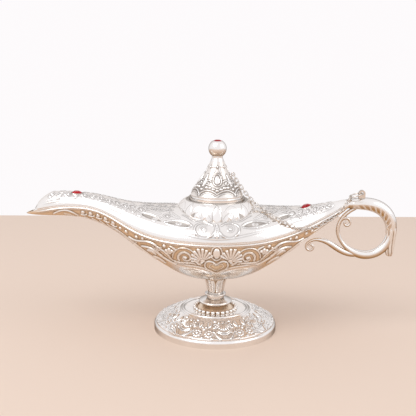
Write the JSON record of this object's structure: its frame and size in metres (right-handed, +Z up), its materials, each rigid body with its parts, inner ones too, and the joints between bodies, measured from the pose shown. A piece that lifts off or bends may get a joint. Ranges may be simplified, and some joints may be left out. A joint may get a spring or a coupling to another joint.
{
  "type": "genie oil lamp",
  "caption": "Ornate genie oil lamp: boat-shaped hollow bowl with hooded spout, scrolled handle, chained lid with ball finial, turned stem and round foot.",
  "frame": {"origin": "centre of the foot's underside", "axes": "+X from the spout to the handle, +Y away from the side the chain hangs on, +Z up"},
  "size_m": [0.2499, 0.084, 0.1299],
  "materials": {
    "cast_silver": "polished",
    "wire_silver": "polished",
    "fastener_steel": "satin",
    "red_glass": "gloss"
  },
  "bodies": {
    "lamp": {"foot": "cast_silver", "stem": "cast_silver", "foot_washer": "fastener_steel", "foot_bolt": "fastener_steel", "lower_bowl": "cast_silver", "upper_cover": "cast_silver", "spout_gem": "red_glass", "tail_gem": "red_glass", "handle": "cast_silver", "chain_lid_run": "wire_silver", "chain_handle_run": "wire_silver"},
    "lid": {"lid": "cast_silver", "lid_eye": "wire_silver", "finial": "cast_silver", "finial_nut": "fastener_steel", "finial_gem": "red_glass"},
    "ring": {"handle_ring": "wire_silver"}
  },
  "joints": [
    {"name": "lid_lift", "type": "slide", "parent": "lamp", "child": "lid", "axis": [0, 0, 1], "range_m": [0, 0.04], "deforming": ["chain_lid_run"]},
    {"name": "ring_swing", "type": "hinge", "parent": "lamp", "child": "ring", "pos_m": [0.0972, 0, 0.0951], "axis": [0, 1, 0], "range_deg": [0, 90], "deforming": ["chain_handle_run"]}
  ]
}
